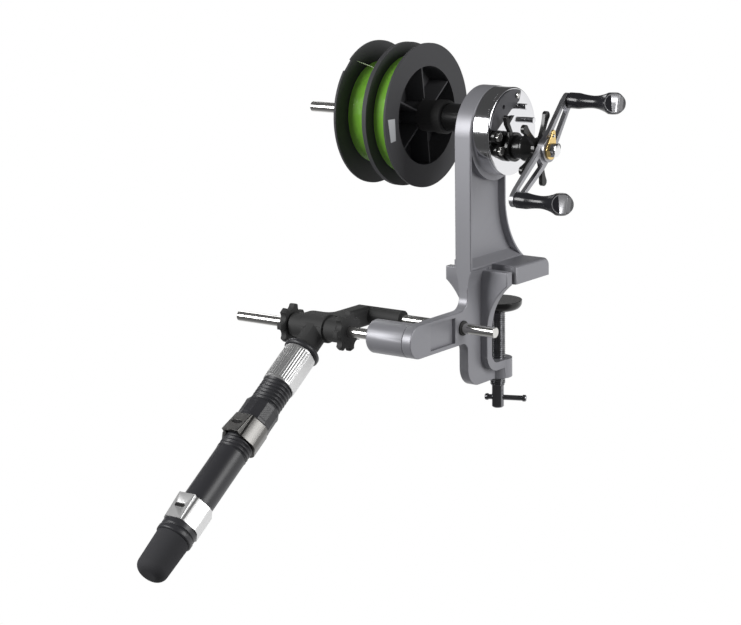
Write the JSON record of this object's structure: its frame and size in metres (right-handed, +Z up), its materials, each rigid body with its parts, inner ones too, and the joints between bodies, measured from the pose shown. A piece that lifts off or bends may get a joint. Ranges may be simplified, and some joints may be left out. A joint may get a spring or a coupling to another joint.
{
  "type": "fishing line winder",
  "caption": "Table-clamped fishing line winder: a geared crank turns line spools on a spindle, and an adjustable bracket holds a reel seat.",
  "frame": {"origin": "on the clamp screw's axis, on the underside of the fixed jaw", "axes": "+X along the spool spindle towards the crank, +Y over the table from the post, +Z up"},
  "size_m": [0.2619, 0.353, 0.3475],
  "materials": {
    "frame_paint": "satin",
    "chrome": "polished",
    "dark_cover": "satin",
    "bright_steel": "polished",
    "black_metal": "gloss",
    "bronze": "satin",
    "black_plastic": "matt",
    "spool_plastic": "matt",
    "line_green": "gloss",
    "grey_metal": "satin",
    "gold": "polished",
    "polished_nut": "polished",
    "knob_black": "gloss",
    "knob_silver": "satin",
    "dark_steel": "polished",
    "seat_silver": "satin",
    "seat_black": "satin",
    "butt_rubber": "matt"
  },
  "bodies": {
    "frame": {"frame_casting": "frame_paint", "gearbox_drum": "chrome", "side_plate": "chrome", "cover_plate": "dark_cover", "cover_screw": "bright_steel", "plate_studs": "chrome", "drive_sleeve": "black_metal", "sleeve_bolts": "bright_steel", "nose_bearing": "bright_steel", "head_bearing": "bright_steel", "inner_crank_bush": "bronze", "outer_crank_bush": "bronze", "front_rod": "bright_steel", "rod_bush": "black_plastic"},
    "spindle": {"spindle_shaft": "bright_steel", "pinion": "bright_steel", "drive_collar": "black_plastic", "retaining_cone": "black_plastic", "cone_screw": "bright_steel", "spool_left": "spool_plastic", "spool_right": "spool_plastic", "line_core_left": "line_green", "line_turns_left": "line_green", "line_core_right": "line_green", "line_turns_right": "line_green"},
    "crank": {"crank_shaft": "bright_steel", "main_gear": "bright_steel", "crank_arm": "grey_metal", "retainer": "gold", "retainer_screw": "bright_steel", "crank_nut": "polished_nut", "knob_pins": "bright_steel"},
    "drag": {"drag_cone": "black_metal", "star_drag": "black_metal"},
    "knob_upper": {"upper_knob": "knob_black", "upper_knob_cap": "knob_silver"},
    "knob_lower": {"lower_knob": "knob_black", "lower_knob_cap": "knob_silver"},
    "lever": {"clutch_lever": "black_metal"},
    "pad": {"clamp_pad": "black_metal"},
    "screw": {"clamp_screw": "dark_steel"},
    "bar": {"tommy_bar": "dark_steel"},
    "bracket": {"guide_yoke": "black_plastic", "rear_rod": "bright_steel"},
    "holder": {"swivel_head": "black_plastic", "seat_collar": "seat_black", "seat_tube": "seat_black", "knurled_sleeve": "seat_silver", "fixed_hood": "seat_silver", "hood_ring": "seat_black", "butt_cap": "butt_rubber"},
    "hood": {"movable_hood": "seat_silver"},
    "nut": {"seat_nut": "seat_black"},
    "clamp_knob_left": {"left_star_knob": "black_plastic"},
    "clamp_knob_right": {"right_star_knob": "black_plastic"}
  },
  "joints": [
    {"name": "spindle_spin", "type": "hinge", "parent": "frame", "child": "spindle", "pos_m": [0, -0.0115, 0.12], "axis": [1, 0, 0], "continuous": true},
    {"name": "crank_turn", "type": "hinge", "parent": "frame", "child": "crank", "pos_m": [0.05, -0.02071, 0.10338], "axis": [1, 0, 0], "continuous": true},
    {"name": "drag_turn", "type": "hinge", "parent": "crank", "child": "drag", "pos_m": [0.045, -0.02071, 0.10338], "axis": [1, 0, 0], "range_deg": [-90, 90]},
    {"name": "upper_knob_spin", "type": "hinge", "parent": "crank", "child": "knob_upper", "pos_m": [0.06, 0.01524, 0.13519], "axis": [1, 0, 0], "continuous": true},
    {"name": "lower_knob_spin", "type": "hinge", "parent": "crank", "child": "knob_lower", "pos_m": [0.06, -0.05666, 0.07158], "axis": [1, 0, 0], "continuous": true},
    {"name": "lever_swing", "type": "hinge", "parent": "frame", "child": "lever", "pos_m": [0.028, -0.02071, 0.10338], "axis": [1, 0, 0], "range_deg": [-15, 20]},
    {"name": "clamp_travel", "type": "slide", "parent": "frame", "child": "pad", "axis": [0, 0, 1], "range_m": [-0.036, 0.014]},
    {"name": "screw_turn", "type": "hinge", "parent": "pad", "child": "screw", "pos_m": [0, 0, -0.06], "axis": [0, 0, 1], "range_deg": [-8640, 3360]},
    {"name": "bar_slide", "type": "slide", "parent": "screw", "child": "bar", "axis": [0.9272, 0.3746, 0], "range_m": [-0.0145, 0.0025]},
    {"name": "bracket_slide", "type": "slide", "parent": "frame", "child": "bracket", "axis": [1, 0, 0], "range_m": [-0.024, 0.013]},
    {"name": "holder_tilt", "type": "hinge", "parent": "bracket", "child": "holder", "pos_m": [-0.0875, -0.108, -0.029], "axis": [1, 0, 0], "range_deg": [-35, 25]},
    {"name": "left_knob_turn", "type": "hinge", "parent": "bracket", "child": "clamp_knob_left", "pos_m": [-0.115, -0.108, -0.029], "axis": [1, 0, 0], "range_deg": [0, 180]},
    {"name": "right_knob_turn", "type": "hinge", "parent": "bracket", "child": "clamp_knob_right", "pos_m": [-0.06, -0.108, -0.029], "axis": [1, 0, 0], "range_deg": [-180, 0]},
    {"name": "hood_slide", "type": "slide", "parent": "holder", "child": "hood", "axis": [0, -0.8221, -0.5693], "range_m": [-0.02, 0.009]},
    {"name": "nut_turn", "type": "hinge", "parent": "hood", "child": "nut", "pos_m": [-0.0875, -0.18199, -0.08024], "axis": [0, -0.8221, -0.5693], "range_deg": [-3120, 1400]}
  ],
  "couplings": [
    {"joint": "crank_turn", "follows": "spindle_spin", "ratio": -0.33333},
    {"joint": "screw_turn", "follows": "clamp_travel", "rad_per_m": 4188.8},
    {"joint": "hood_slide", "follows": "nut_turn", "m_per_rad": 0.00036606}
  ]
}
